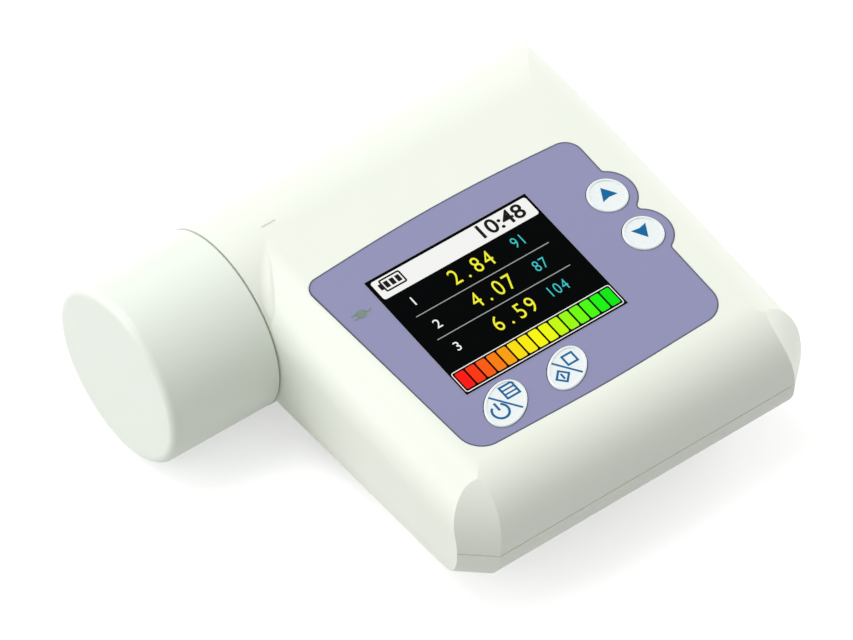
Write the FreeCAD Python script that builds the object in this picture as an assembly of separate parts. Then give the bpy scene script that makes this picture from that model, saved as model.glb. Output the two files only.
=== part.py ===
"""Handheld turbine spirometer, built piece by piece.

Frame: +X to the right (the capped mouthpiece end points to -X), +Y to the back (the barrel),
+Z up. The origin is on the resting face, midway across the width and the depth.
All sizes are in millimetres.
"""
import FreeCAD, Part
import math
import os
from FreeCAD import Placement, Rotation, Vector

# Housing
BODY_DEPTH = 87.1
BARREL_R = 17.0
BARREL_HALF_LENGTH = 37.4
FRONT_HALF_WIDTH = 36.8
WALL = 2.0
TOP_SLOPE_DEG = 5.26
SEAM_BELOW_AXIS = 1.1
BARREL_LIFT = 0.6
NOSE_R = 11.0
SHOULDER_R = 8.5
FLANK_R = 13.2
CHIN_DROP = 5.4
FACET_CHIN_DROP = 6.1
CHIN_R = 8.0
CHIN_ANGLE_DEG = 58.0
KEEL_R = 6.0
FACET_X = 5.3
FACET_Y = 4.75
FACET_NOSE_R = 14.0
FACET_NOSE_Z = 17.0
LIP_HEIGHT = 1.2
LIP_THICK = 0.8
SEAM_GROOVE = 0.3
FIT_GAP = 0.1

# Front panel, measured across (u) and up the slope (v) from the front plane
OVERLAY_THICK = 0.5
OVERLAY_GAP = 0.15
OVERLAY_NOTCH_R = 0.9
OVERLAY_LOW_V = 11.6
OVERLAY_HIGH_V = 56.1
OVERLAY_LOW_LEFT = 27.75
OVERLAY_LOW_RIGHT = 25.8
OVERLAY_HIGH_LEFT = 30.5
OVERLAY_HIGH_RIGHT = 26.6
OVERLAY_LOW_R = 4.6
OVERLAY_HIGH_LEFT_R = 2.6
OVERLAY_HIGH_RIGHT_R = 3.2
OVERLAY_LOW_BOW = 0.8
OVERLAY_HIGH_BOW = 1.75
OVERLAY_BOW_R = 300.0
WINDOW_U = -4.55
WINDOW_V = 36.45
WINDOW_WIDTH = 34.3
WINDOW_HEIGHT = 28.7
WINDOW_LEDGE = 0.3
LOBE_R = 5.25

# Keys
ROUND_KEY_R = 3.65
ROUND_KEY_U = 24.0
UP_KEY_V = 42.4
DOWN_KEY_V = 32.45
OVAL_KEY_V = 17.05
MENU_KEY_U = -17.4
MENU_KEY_LONG = 5.1
MENU_KEY_SHORT = 3.5
START_KEY_U = -4.4
START_KEY_LONG = 4.8
START_KEY_SHORT = 3.2
OVAL_TURN_DEG = 36.0
KEY_PROUD = 0.25
KEY_EDGE_R = 0.2
KEY_RIM = 0.45
KEY_DISH = 0.15
KEY_GAP = 0.15
KEY_FLANGE = 0.7
KEY_FLANGE_THICK = 0.5
KEY_FLANGE_PLAY = 0.05
KEY_TRAVEL = 0.3

# Display and main board
GASKET_THICK = 0.4
MODULE_WIDTH = 41.3
MODULE_HEIGHT = 32.4
MODULE_THICK = 2.4
MODULE_TOP_MARGIN = 2.9
GLASS_GAP = 0.1
FLEX_WIDTH = 14.0
FLEX_THICK = 0.3
BOARD_THICK = 1.2
BOARD_HALF_WIDTH = 33.0
BOARD_FRONT_V = 9.5
BOARD_UNDER_BARREL = 1.65
SWITCH_SIDE = 4.5
SWITCH_HEIGHT = 1.5
PLUNGER_R = 0.9
PLUNGER_GAP = 0.15
BOARD_FRONT_SCREW_U = 29.0
BOARD_FRONT_SCREW_V = 13.0
BOARD_REAR_SCREW_U = 31.0
BOARD_REAR_SCREW_V = 37.5
BOARD_BOSS_R = 2.3
BOARD_SCREW_R = 0.9
BOARD_SCREW_LENGTH = 3.8
LIGHT_U = -26.7
LIGHT_V = 45.8
LIGHT_PIPE_R = 1.0
USB_V = 29.0
USB_WIDTH = 8.0
USB_HEIGHT = 3.0
USB_DEPTH = 8.6
SOUNDER_R = 5.0
SOUNDER_HEIGHT = 3.0
SOUNDER_U = 8.0
SOUNDER_V = 26.0
CHIP_HEIGHT = 1.2
MAIN_CHIP_SIDE = 10.0
MAIN_CHIP_U = -6.0
MAIN_CHIP_V = 31.0
MEMORY_CHIP_SIDE = 5.5
MEMORY_CHIP_U = -18.0
PLUG_WIDTH = 9.0
PLUG_DEPTH = 4.0
PLUG_HEIGHT = 3.0
BATTERY_PLUG_U = 16.0
BATTERY_PLUG_V = 13.5
SENSOR_PLUG_U = -7.0
SENSOR_PLUG_V = 46.0

# Case screws
CASE_SCREW_X = 28.9
CASE_SCREW_FROM_FRONT = 18.9
CASE_SCREW_FROM_BARREL = 2.8
CASE_BOSS_R = 3.1
CASE_SCREW_R = 1.1
CASE_HEAD_R = 2.1
CASE_HEAD_HEIGHT = 1.4
CASE_SCREW_SEAT_Z = 8.0
CASE_SCREW_LENGTH = 12.0

# Battery and sensor board
BATTERY_LENGTH = 42.0
BATTERY_DEPTH = 26.0
BATTERY_HEIGHT = 7.5
BATTERY_Y = -7.0
BATTERY_PAD = 0.6
SENSOR_BOARD_WIDTH = 20.0
SENSOR_BOARD_HEIGHT = 17.0
SENSOR_BOARD_THICK = 1.0
SENSOR_LED_R = 1.5
SENSOR_LED_X = 4.0
SENSOR_LED_Z = 4.5

# Flow path along the barrel axis
SLEEVE_GAP = 0.5
SLEEVE_WALL = 1.4
SLEEVE_COLLAR = 5.0
SLEEVE_RING_X = 20.0
SLEEVE_RING_WIDTH = 2.0
TUBE_WALL = 1.8
TUBE_INNER_END = 16.0
TUBE_FIT = 0.1
NECK_WALL = 1.5
NECK_LENGTH = 16.0
NECK_BORE_DEPTH = 14.0
FLANGE_THICK = 2.0
FLANGE_PLAY = 0.2
KEY_RIB = 2.0
ORING_SECTION = 1.5
ORING_GAP = 0.04
SEAT_ORING_IN = 4.4
NECK_ORING_OUT = 6.6
STATOR_LENGTH = 8.0
STATOR_BLADES = 6
STATOR_TWIST_DEG = 35.0
STATOR_HUB_R = 2.5
STATOR_RING = 0.8
BLADE_THICK = 0.8
ROTOR_X = -7.0
ROTOR_LENGTH = 14.0
ROTOR_TIP_GAP = 1.1
VANE_THICK = 0.4
ROTOR_END_GAP = 2.5
AXLE_R = 0.5
AXLE_CLEARANCE = 0.03
BEARING_R = 1.2
BEARING_LENGTH = 1.8
OUTLET_R = 12.0
OUTLET_RING_WALL = 1.2
OUTLET_COLLAR_WALL = 1.2
OUTLET_RING_SETBACK = 0.3

# Mouth cap
CAP_STEP = 0.1
CAP_WALL = 1.2
CAP_GAP = 0.2
CAP_LENGTH = 22.0
CAP_END_WALL = 2.0
CAP_EDGE_R = 1.5
CAP_SEAM = 0.35

# Values that follow from those above
SLOPE = math.radians(TOP_SLOPE_DEG)
FRONT_Y = -BODY_DEPTH / 2
AXIS_Y = BODY_DEPTH / 2 - BARREL_R
AXIS_Z = BARREL_R + BARREL_LIFT
SEAM_Z = AXIS_Z - SEAM_BELOW_AXIS
BARREL_BORE_R = BARREL_R - WALL
WALL_UNDER = -WALL
MODULE_TOP = WALL_UNDER - GASKET_THICK
BOARD_TOP = MODULE_TOP - MODULE_THICK
BOARD_UNDER = BOARD_TOP - BOARD_THICK
SLEEVE_R = BARREL_BORE_R - SLEEVE_GAP
SLEEVE_INLET_END = BARREL_HALF_LENGTH - FLANGE_THICK
SLEEVE_BORE_R = SLEEVE_R - SLEEVE_WALL
SLEEVE_OUTLET_END = BARREL_HALF_LENGTH - SHOULDER_R - 0.9
OUTLET_RING_R = OUTLET_R + OUTLET_RING_WALL
OUTLET_COLLAR_R = OUTLET_RING_R + OUTLET_COLLAR_WALL
TUBE_R = SLEEVE_BORE_R - TUBE_FIT
TUBE_BORE_R = TUBE_R - TUBE_WALL
SEAT_ORING_X = SEAT_ORING_IN - SLEEVE_INLET_END
NECK_ORING_X = -BARREL_HALF_LENGTH - NECK_ORING_OUT
ROTOR_R = TUBE_BORE_R - ROTOR_TIP_GAP
ROTOR_START = ROTOR_X - ROTOR_LENGTH / 2
ROTOR_END = ROTOR_X + ROTOR_LENGTH / 2
INLET_END = ROTOR_START - ROTOR_END_GAP
OUTLET_START = ROTOR_END + ROTOR_END_GAP
CAP_R = BARREL_R - CAP_STEP
CAP_BORE_R = CAP_R - CAP_WALL
NECK_R = CAP_BORE_R - CAP_GAP
NECK_BORE_R = NECK_R - NECK_WALL
TALL = 60.0
WIDE = 50.0


def top_z(y):
    """Height of the sloping top plane, which is tangent to the barrel."""
    touch_y = AXIS_Y - BARREL_R * math.sin(SLOPE)
    touch_z = AXIS_Z + BARREL_R * math.cos(SLOPE)
    return touch_z + (y - touch_y) * math.tan(SLOPE)


PANEL = Placement(Vector(0, FRONT_Y, top_z(FRONT_Y)), Rotation(Vector(1, 0, 0), TOP_SLOPE_DEG))
PANEL_NORMAL = PANEL.Rotation.multVec(Vector(0, 0, 1))


def on_panel(shape):
    """Carry a shape drawn in panel axes (u, v, normal) to its place on the top."""
    placed = shape.copy()
    placed.Placement = PANEL.multiply(placed.Placement)
    return placed


def panel_y(v):
    """Y of a point on the panel surface."""
    return FRONT_Y + v * math.cos(SLOPE)


def box(x0, x1, y0, y1, z0, z1):
    return Part.makeBox(x1 - x0, y1 - y0, z1 - z0, Vector(x0, y0, z0))


def cylinder_x(radius, x0, x1, y=AXIS_Y, z=AXIS_Z):
    return Part.makeCylinder(radius, x1 - x0, Vector(x0, y, z), Vector(1, 0, 0))


def cylinder_z(radius, x, y, z0, z1):
    return Part.makeCylinder(radius, z1 - z0, Vector(x, y, z0))


def tube_x(outer, inner, x0, x1):
    return cylinder_x(outer, x0, x1).cut(cylinder_x(inner, x0 - 1, x1 + 1))


def rounded_face(corners):
    """Face in the XY plane from corners (a, b, radius), each rounded by its own radius."""
    points = [Vector(a, b, 0) for a, b, _ in corners]
    spans = []
    for i, (_, _, radius) in enumerate(corners):
        here = points[i]
        back = (points[i - 1] - here).normalize()
        ahead = (points[(i + 1) % len(points)] - here).normalize()
        if radius <= 0:
            spans.append((here, None, here))
            continue
        half = back.getAngle(ahead) / 2
        middle = (back + ahead).normalize()
        reach = radius / math.tan(half)
        crown = here + middle * (radius / math.sin(half) - radius)
        spans.append((here + back * reach, crown, here + ahead * reach))
    edges = []
    for i, (start, crown, end) in enumerate(spans):
        if crown is not None:
            edges.append(Part.Arc(start, crown, end).toShape())
        following = spans[(i + 1) % len(spans)][0]
        if end.distanceToPoint(following) > 1e-6:
            edges.append(Part.makeLine(end, following))
    return Part.Face(Part.Wire(edges))


def side_prism(corners, half_width):
    """Solid whose side view (y, z) has these rounded corners."""
    face = rounded_face(corners)
    face.Placement = Placement(Vector(-half_width, 0, 0), Rotation(Vector(1, 1, 1), 120))
    return face.extrude(Vector(2 * half_width, 0, 0))


def crossing(first, second):
    """Point where two lines (point, direction) of the side view meet."""
    (p, d), (q, e) = first, second
    t = ((q[0] - p[0]) * e[1] - (q[1] - p[1]) * e[0]) / (d[0] * e[1] - d[1] * e[0])
    return (p[0] + t * d[0], p[1] + t * d[1])


def half_width(y):
    """Half the body's width, which narrows towards the front."""
    taper = (BARREL_HALF_LENGTH - FRONT_HALF_WIDTH) / (AXIS_Y - BARREL_R - FRONT_Y)
    return min(BARREL_HALF_LENGTH, FRONT_HALF_WIDTH + taper * (y - FRONT_Y))


def face_and_chin(place, drop, inset):
    """Upright face and the chin slope under it, as lines of a side view, moved in by inset."""
    chin = math.radians(CHIN_ANGLE_DEG)
    chin_point = (place + inset * math.cos(chin), SEAM_Z - drop + inset * math.sin(chin))
    return ((place + inset, 0), (0, 1)), (chin_point, (math.sin(chin), -math.cos(chin)))


def rounded_block(inset):
    """Full-depth block under the panel and the barrel's top line, its shoulders and flanks rounded."""
    radius = BARREL_R - inset
    touch = (AXIS_Y - radius * math.sin(SLOPE), AXIS_Z + radius * math.cos(SLOPE))
    panel = (touch, (math.cos(SLOPE), math.sin(SLOPE)))
    ridge = ((0, AXIS_Z + radius), (1, 0))
    front_end, back_end = FRONT_Y - WALL, AXIS_Y + BARREL_R + WALL
    block = side_prism([
        crossing(((front_end, 0), (0, 1)), panel) + (0,),
        crossing(panel, ridge) + (radius,),
        (back_end, AXIS_Z + radius, 0),
        (back_end, inset, 0),
        (front_end, inset, 0),
    ], WIDE)
    plan = [(half_width(y) - inset, y) for y in (front_end, AXIS_Y - BARREL_R, back_end)]
    corners = [(x, y, 0) for x, y in plan] + [(-x, y, 0) for x, y in reversed(plan)]
    outline = rounded_face(corners)
    outline.translate(Vector(0, 0, -WALL))
    block = block.common(outline.extrude(Vector(0, 0, TALL)))
    long_edges = [e for e in block.Edges if abs(e.tangentAt(e.FirstParameter).y) > 0.9]
    block = block.makeFillet(SHOULDER_R - inset, [e for e in long_edges if e.CenterOfMass.z > SEAM_Z])
    lower = [e for e in block.Edges
             if abs(e.tangentAt(e.FirstParameter).y) > 0.9 and e.CenterOfMass.z < inset + 1e-3]
    return block.makeFillet(FLANK_R - inset, lower)


def wedge(block, inset):
    """The body in front of the barrel, shrunk by inset on every side."""
    radius = BARREL_R - inset
    touch = (AXIS_Y - radius * math.sin(SLOPE), AXIS_Z + radius * math.cos(SLOPE))
    front, chin = face_and_chin(FRONT_Y, CHIN_DROP, inset)
    top = (touch, (math.cos(SLOPE), math.sin(SLOPE)))
    base = ((0, inset), (1, 0))
    shape = block.common(side_prism([
        crossing(front, top) + (NOSE_R - inset,),
        touch + (0,),
        (AXIS_Y, AXIS_Z, 0),
        (AXIS_Y + 0.4 * BARREL_R, AXIS_Z - 0.8 * radius, 0),
        (AXIS_Y, inset, 0),
        crossing(base, chin) + (KEEL_R,),
        crossing(chin, front) + (CHIN_R - inset,),
    ], WIDE))
    for side in (-1, 1):
        shape = shape.common(facet_block(side, inset))
    return shape


def facet_block(side, inset):
    """All that lies behind one corner facet: its face curves back at the top and under the chin."""
    face, chin = face_and_chin(0, FACET_CHIN_DROP, inset)
    base = ((0, inset), (1, 0))
    crown = FACET_NOSE_Z + FACET_NOSE_R - inset
    outline = rounded_face([
        (inset, crown, FACET_NOSE_R - inset),
        (FACET_NOSE_R, crown, 0),
        (FACET_NOSE_R, TALL, 0),
        (3 * TALL, TALL, 0),
        (3 * TALL, inset, 0),
        crossing(base, chin) + (KEEL_R,),
        crossing(chin, face) + (CHIN_R - inset,),
    ])
    angle = math.atan2(FACET_Y, FACET_X)
    inward = Vector(-side * math.sin(angle), math.cos(angle), 0)
    up = Vector(0, 0, 1)
    along = inward.cross(up)
    corner = Vector(side * (half_width(FRONT_Y) - FACET_X), FRONT_Y, 0)
    outline.Placement = Placement(corner - along * 2 * TALL, Rotation(inward, up, along, "XYZ"))
    return outline.extrude(along * 4 * TALL)


def barrel(block, inset):
    """The round barrel: flat to the cap at the left, rounded like the body's shoulder at the right."""
    left = cylinder_x(BARREL_R - inset, inset - BARREL_HALF_LENGTH, 0)
    right = cylinder_x(BARREL_R - inset, 0, BARREL_HALF_LENGTH)
    return left.fuse(right.common(block))


def body(inset):
    """The whole closed housing, shrunk by inset on every side."""
    block = rounded_block(inset)
    return wedge(block, inset).fuse(barrel(block, inset)).removeSplitter()


def above(z):
    return box(-WIDE - 20, WIDE + 20, -TALL, TALL, z, z + TALL)


def below(z):
    return box(-WIDE - 20, WIDE + 20, -TALL, TALL, z - TALL, z)


def layer(z0, z1):
    return box(-WIDE - 20, WIDE + 20, -TALL, TALL, z0, z1)


def bore_through():
    """Bore for the sleeve from the cap end, and the smaller outlet at the other end."""
    bore = cylinder_x(BARREL_BORE_R, -BARREL_HALF_LENGTH - 1, SLEEVE_OUTLET_END)
    return bore.fuse(cylinder_x(OUTLET_RING_R, 0, BARREL_HALF_LENGTH + 1))


def outlet_collar():
    """Short tube inside the rounded end that carries the outlet ring."""
    return tube_x(OUTLET_COLLAR_R, OUTLET_RING_R, SLEEVE_OUTLET_END, BARREL_HALF_LENGTH)


def overlay_face(grow):
    """Outline of the front overlay with its two lobes round the arrow keys."""
    shape = rounded_face([
        (-OVERLAY_LOW_LEFT, OVERLAY_LOW_V, OVERLAY_LOW_R),
        (0, OVERLAY_LOW_V - OVERLAY_LOW_BOW, OVERLAY_BOW_R),
        (OVERLAY_LOW_RIGHT, OVERLAY_LOW_V, OVERLAY_LOW_R),
        (OVERLAY_HIGH_RIGHT, OVERLAY_HIGH_V, OVERLAY_HIGH_RIGHT_R),
        (0, OVERLAY_HIGH_V + OVERLAY_HIGH_BOW, OVERLAY_BOW_R),
        (-OVERLAY_HIGH_LEFT, OVERLAY_HIGH_V, OVERLAY_HIGH_LEFT_R),
    ])
    film = shape.extrude(Vector(0, 0, 1))
    for v in (UP_KEY_V, DOWN_KEY_V):
        film = film.fuse(Part.makeCylinder(LOBE_R, 1, Vector(ROUND_KEY_U, v, 0)))
    base = [f for f in film.removeSplitter().Faces if f.CenterOfMass.z < 1e-6][0]
    notched = base.makeOffset2D(OVERLAY_NOTCH_R).makeOffset2D(-OVERLAY_NOTCH_R)
    return notched.makeOffset2D(grow) if grow else notched


def raise_face(face, n0, n1):
    """Extrude a panel face between two heights."""
    lifted = face.copy()
    lifted.translate(Vector(0, 0, n0))
    return lifted.extrude(Vector(0, 0, n1 - n0))


def window_block(grow, n0, n1):
    half_u = WINDOW_WIDTH / 2 + grow
    half_v = WINDOW_HEIGHT / 2 + grow
    return box(WINDOW_U - half_u, WINDOW_U + half_u, WINDOW_V - half_v, WINDOW_V + half_v, n0, n1)


def disc_key(v):
    def face(grow):
        return Part.Face(Part.Wire(Part.makeCircle(ROUND_KEY_R + grow, Vector(ROUND_KEY_U, v, 0))))
    return face, Vector(ROUND_KEY_U, v, 0)


def oval_key(u, long_half, short_half):
    def face(grow):
        oval = Part.Ellipse(Vector(0, 0, 0), long_half + grow, short_half + grow).toShape()
        flat = Part.Face(Part.Wire(oval))
        flat.Placement = Placement(Vector(u, OVAL_KEY_V, 0), Rotation(Vector(0, 0, 1), OVAL_TURN_DEG))
        return flat
    return face, Vector(u, OVAL_KEY_V, 0)


KEYS = {
    "up": disc_key(UP_KEY_V),
    "down": disc_key(DOWN_KEY_V),
    "menu": oval_key(MENU_KEY_U, MENU_KEY_LONG, MENU_KEY_SHORT),
    "start": oval_key(START_KEY_U, START_KEY_LONG, START_KEY_SHORT),
}


def case_screw_places():
    rows = (FRONT_Y + CASE_SCREW_FROM_FRONT, AXIS_Y - BARREL_R - CASE_SCREW_FROM_BARREL)
    return [(side * CASE_SCREW_X, y) for y in rows for side in (-1, 1)]


def board_screw_places():
    pairs = ((BOARD_FRONT_SCREW_U, BOARD_FRONT_SCREW_V), (BOARD_REAR_SCREW_U, BOARD_REAR_SCREW_V))
    return [(side * u, v) for u, v in pairs for side in (-1, 1)]


def usb_opening():
    """Slot in the right wall in front of the charging socket."""
    grow = 0.4
    n_low, n_high = BOARD_UNDER - USB_HEIGHT - grow, BOARD_UNDER + grow
    slot = box(BOARD_HALF_WIDTH - 1, WIDE, USB_V - USB_WIDTH / 2 - grow,
               USB_V + USB_WIDTH / 2 + grow, n_low, n_high)
    edges = [e for e in slot.Edges if abs(e.tangentAt(e.FirstParameter).x) > 0.9]
    return slot.makeFillet(1.2, edges)


def sleeve_rings():
    """Ring ribs that hold the sensor sleeve inside the barrel."""
    half = SLEEVE_RING_WIDTH / 2
    rings = []
    for x in (-SLEEVE_RING_X, SLEEVE_RING_X):
        rings.append(tube_x(BARREL_BORE_R + WALL / 2, SLEEVE_R, x - half, x + half))
    return rings[0].fuse(rings[1])


def lip_ring(outer_inset):
    """Band along the seam, from outer_inset inwards to the cavity."""
    return body(outer_inset).common(layer(SEAM_Z - 0.5, SEAM_Z + LIP_HEIGHT))


def upper_shell(outer, cavity):
    shell = outer.common(above(SEAM_Z)).cut(cavity).cut(bore_through())
    solid = outer.common(above(SEAM_Z))
    bosses = []
    for x, y in case_screw_places():
        bosses.append(cylinder_z(CASE_BOSS_R, x, y, SEAM_Z, TALL).common(solid))
    for u, v in board_screw_places():
        boss = Part.makeCylinder(BOARD_BOSS_R, -BOARD_TOP - OVERLAY_THICK - 0.5, Vector(u, v, BOARD_TOP))
        bosses.append(on_panel(boss).common(solid))
    bosses.append(sleeve_rings().common(above(SEAM_Z)))
    bosses.append(outlet_collar().common(solid))
    shell = shell.multiFuse(bosses)
    for x, y in case_screw_places():
        shell = shell.cut(cylinder_z(CASE_SCREW_R - 0.15, x, y, SEAM_Z - 1,
                                     CASE_SCREW_SEAT_Z + CASE_SCREW_LENGTH + 0.5))
    for u, v in board_screw_places():
        hole = Part.makeCylinder(BOARD_SCREW_R - 0.1, BOARD_SCREW_LENGTH - BOARD_THICK + 0.3,
                                 Vector(u, v, BOARD_TOP - 0.01))
        shell = shell.cut(on_panel(hole))
    rebate = lip_ring(WALL - LIP_THICK - FIT_GAP).common(layer(SEAM_Z - 1, SEAM_Z + LIP_HEIGHT + FIT_GAP))
    rebate = rebate.common(barrel_clear())
    for x, y in case_screw_places():
        rebate = rebate.cut(cylinder_z(CASE_BOSS_R, x, y, 0, TALL))
    shell = shell.cut(rebate.cut(sleeve_rings()).cut(outlet_collar()))
    recess = raise_face(overlay_face(OVERLAY_GAP), -OVERLAY_THICK, TALL)
    cuts = [recess, window_block(-WINDOW_LEDGE, -2 * WALL, TALL)]
    for face, _ in KEYS.values():
        cuts.append(raise_face(face(KEY_GAP), -2 * WALL, TALL))
    cuts.append(Part.makeCylinder(LIGHT_PIPE_R + 0.05, TALL, Vector(LIGHT_U, LIGHT_V, -2 * WALL)))
    cuts.append(usb_opening())
    for tool in cuts:
        shell = shell.cut(on_panel(tool))
    return shell.removeSplitter()


def barrel_clear():
    """Space where the seam lip may run: all of the body but the open barrel ends."""
    reach = BARREL_HALF_LENGTH - WALL
    return box(-reach, reach, -TALL, TALL, -WALL, TALL)


def lower_shell(outer, cavity):
    solid = outer.common(below(SEAM_Z))
    shell = solid.cut(cavity).cut(bore_through())
    lip = body(WALL - LIP_THICK).common(layer(SEAM_Z, SEAM_Z + LIP_HEIGHT)).common(barrel_clear())
    lip = lip.cut(cavity).cut(bore_through()).cut(sleeve_rings())
    root = body(WALL - LIP_THICK).common(layer(SEAM_Z - 1.5, SEAM_Z)).common(barrel_clear())
    root = root.cut(cavity).cut(bore_through())
    extras = [lip.fuse(root)]
    for x, y in case_screw_places():
        extras.append(cylinder_z(CASE_BOSS_R, x, y, 0, SEAM_Z).common(solid))
    extras.append(sleeve_rings().common(below(SEAM_Z)))
    extras.append(outlet_collar().common(solid))
    extras += [p.common(solid) for p in battery_fences()]
    extras += sensor_board_posts()
    shell = shell.multiFuse(extras)
    for x, y in case_screw_places():
        shell = shell.cut(cylinder_z(CASE_SCREW_R + 0.15, x, y, -1, SEAM_Z + 1))
        shell = shell.cut(cylinder_z(CASE_HEAD_R + 0.3, x, y, -1, CASE_SCREW_SEAT_Z))
    groove = body(0).cut(body(SEAM_GROOVE)).common(layer(SEAM_Z - SEAM_GROOVE, SEAM_Z))
    groove = groove.common(box(-WIDE, WIDE, -TALL, FRONT_Y + FACET_Y, 0, TALL))
    return shell.cut(groove).removeSplitter()


def battery_fences():
    """Low walls round the battery pack."""
    thick, height = 1.2, 5.0
    x1 = BATTERY_LENGTH / 2 + 0.3
    y0 = BATTERY_Y - BATTERY_DEPTH / 2 - 0.3
    y1 = BATTERY_Y + BATTERY_DEPTH / 2 + 0.3
    fences = []
    for side in (-1, 1):
        inner, outer = sorted((side * x1, side * (x1 + thick)))
        fences.append(box(inner, outer, y0 + 3, y1 - 3, WALL - 0.5, WALL + height))
    fences.append(box(-12, 12, y1, y1 + thick, WALL - 0.5, WALL + height))
    fences.append(box(-12, 12, y0 - thick, y0, WALL - 0.5, WALL + height))
    return fences


def sensor_board_face_y():
    """Y of the sensor board's face that carries the light pairs."""
    return AXIS_Y - SLEEVE_R - 2.2


def sensor_board_posts():
    """Two slotted posts that the sensor board drops into."""
    back = sensor_board_face_y()
    posts = []
    for side in (-1, 1):
        edge = ROTOR_X + side * SENSOR_BOARD_WIDTH / 2
        inner, outer = sorted((edge - side * 1.0, edge + side * 2.0))
        post = box(inner, outer, back - SENSOR_BOARD_THICK - 1.5, back + 1.2, WALL - 0.5, SEAM_Z - 3)
        slot_inner, slot_outer = sorted((edge - side * 2.0, edge + side * 0.1))
        slot = box(slot_inner, slot_outer, back - SENSOR_BOARD_THICK - 0.05, back + 0.05,
                   sensor_board_z()[0], SEAM_Z)
        posts.append(post.cut(slot))
    return posts


def sensor_board_z():
    low = AXIS_Z - SENSOR_BOARD_HEIGHT / 2
    return low, low + SENSOR_BOARD_HEIGHT


def front_overlay():
    film = raise_face(overlay_face(0), -OVERLAY_THICK, 0)
    film = film.cut(window_block(0.05, -1, 1))
    for face, _ in KEYS.values():
        film = film.cut(raise_face(face(KEY_GAP), -1, 1))
    return on_panel(film)


def display_window():
    return on_panel(window_block(0, -OVERLAY_THICK, 0))


def module_span():
    """Edges of the display module on the panel."""
    v1 = WINDOW_V + WINDOW_HEIGHT / 2 + MODULE_TOP_MARGIN
    return WINDOW_U - MODULE_WIDTH / 2, WINDOW_U + MODULE_WIDTH / 2, v1 - MODULE_HEIGHT, v1


def display_gasket():
    u0, u1, v0, v1 = module_span()
    frame = box(u0, u1, v0, v1, MODULE_TOP, WALL_UNDER)
    return on_panel(frame.cut(window_block(GLASS_GAP - WINDOW_LEDGE, -TALL, TALL)))


def display_module():
    u0, u1, v0, v1 = module_span()
    case = box(u0, u1, v0, v1, BOARD_TOP, MODULE_TOP)
    glass = window_block(-WINDOW_LEDGE - GLASS_GAP, MODULE_TOP, -OVERLAY_THICK)
    return on_panel(case.fuse(glass).removeSplitter())


def display_flex():
    """Ribbon that leaves the module at its top edge and lands on the board."""
    _, _, _, v1 = module_span()
    mid = (BOARD_TOP + MODULE_TOP) / 2
    run = [
        (v1, mid + FLEX_THICK / 2),
        (v1 + 1.4, mid + FLEX_THICK / 2),
        (v1 + 1.4, BOARD_TOP),
        (v1 + 1.4 - FLEX_THICK, BOARD_TOP),
        (v1 + 1.4 - FLEX_THICK, mid - FLEX_THICK / 2),
        (v1, mid - FLEX_THICK / 2),
    ]
    face = rounded_face([(v, n, 0) for v, n in run])
    face.Placement = Placement(Vector(WINDOW_U - FLEX_WIDTH / 2, 0, 0), Rotation(Vector(1, 1, 1), 120))
    return on_panel(face.extrude(Vector(FLEX_WIDTH, 0, 0)))


def main_board():
    back_v = (AXIS_Y - BARREL_R + BOARD_UNDER_BARREL - FRONT_Y) / math.cos(SLOPE)
    board = box(-BOARD_HALF_WIDTH, BOARD_HALF_WIDTH, BOARD_FRONT_V, back_v, BOARD_UNDER, BOARD_TOP)
    board = on_panel(board)
    for x, y in case_screw_places():
        side = 1 if x > 0 else -1
        reach = CASE_BOSS_R + 0.4
        inner, outer = sorted((x, side * (BOARD_HALF_WIDTH + 5)))
        notch = cylinder_z(reach, x, y, 0, TALL).fuse(box(inner, outer, y - reach, y + reach, 0, TALL))
        board = board.cut(notch)
    for u, v in board_screw_places():
        board = board.cut(on_panel(Part.makeCylinder(BOARD_SCREW_R + 0.2, TALL, Vector(u, v, -TALL))))
    return board.removeSplitter()


def board_chips():
    """Main chip, memory and the battery and sensor plugs, all under the board."""
    placed = [
        (MAIN_CHIP_U, MAIN_CHIP_V, MAIN_CHIP_SIDE, MAIN_CHIP_SIDE, CHIP_HEIGHT),
        (MEMORY_CHIP_U, MAIN_CHIP_V, MEMORY_CHIP_SIDE, MEMORY_CHIP_SIDE, CHIP_HEIGHT),
        (BATTERY_PLUG_U, BATTERY_PLUG_V, PLUG_WIDTH, PLUG_DEPTH, PLUG_HEIGHT),
        (SENSOR_PLUG_U, SENSOR_PLUG_V, PLUG_WIDTH, PLUG_DEPTH, PLUG_HEIGHT),
    ]
    chips = []
    for u, v, width, depth, height in placed:
        chips.append(box(u - width / 2, u + width / 2, v - depth / 2, v + depth / 2,
                         BOARD_UNDER - height, BOARD_UNDER))
    return on_panel(Part.makeCompound(chips))


def sounder():
    base = Vector(SOUNDER_U, SOUNDER_V, BOARD_UNDER - SOUNDER_HEIGHT)
    can = Part.makeCylinder(SOUNDER_R, SOUNDER_HEIGHT, base)
    hole = Part.makeCylinder(0.2 * SOUNDER_R, SOUNDER_HEIGHT / 3, base)
    return on_panel(can.cut(hole))


def usb_socket():
    """Open metal shell with a contact tongue, hung under the board's right edge."""
    u1 = half_width(panel_y(USB_V)) - 0.3
    u0 = u1 - USB_DEPTH
    n0, n1 = BOARD_UNDER - USB_HEIGHT, BOARD_UNDER
    wall = 0.3
    shell = box(u0, u1, USB_V - USB_WIDTH / 2, USB_V + USB_WIDTH / 2, n0, n1)
    edges = [e for e in shell.Edges if abs(e.tangentAt(e.FirstParameter).x) > 0.9]
    shell = shell.makeFillet(0.7, edges)
    hollow = box(u0 + 2.5, u1 + 1, USB_V - USB_WIDTH / 2 + wall, USB_V + USB_WIDTH / 2 - wall,
                 n0 + wall, n1 - wall)
    tongue = box(u0 + 2, u1 - 1.2, USB_V - 2.6, USB_V + 2.6, (n0 + n1) / 2 - 0.3, (n0 + n1) / 2 + 0.3)
    return on_panel(shell.cut(hollow).fuse(tongue).removeSplitter())


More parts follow.
